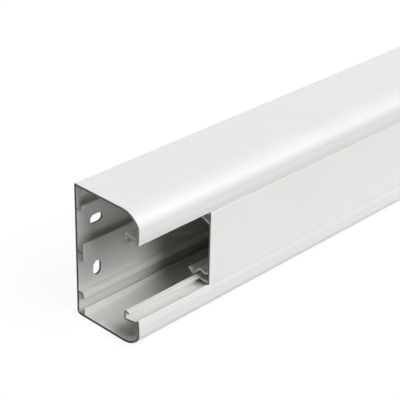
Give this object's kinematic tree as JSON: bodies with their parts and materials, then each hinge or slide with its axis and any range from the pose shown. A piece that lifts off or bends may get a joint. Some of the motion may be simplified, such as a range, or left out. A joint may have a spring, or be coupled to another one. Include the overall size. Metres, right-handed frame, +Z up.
{
  "type": "wall trunking with snap-in cover",
  "caption": "White cable trunking with rounded front edges, slotted back wall, hooked front lips and a flat snap-in cover set back from one end.",
  "frame": {"origin": "middle of the length and of the depth, on the flat underside that the trunking stands on", "axes": "+X along the trunking away from the end where the cover is set back, +Y towards the wall that the back is fixed to, +Z up; the cover faces -Y"},
  "size_m": [2, 0.0674, 0.11],
  "materials": {
    "base_pvc": "satin white extruded PVC",
    "cover_pvc": "satin white extruded PVC"
  },
  "bodies": {
    "root": {"trunking_base": "base_pvc", "snap_cover": "cover_pvc"}
  },
  "joints": []
}
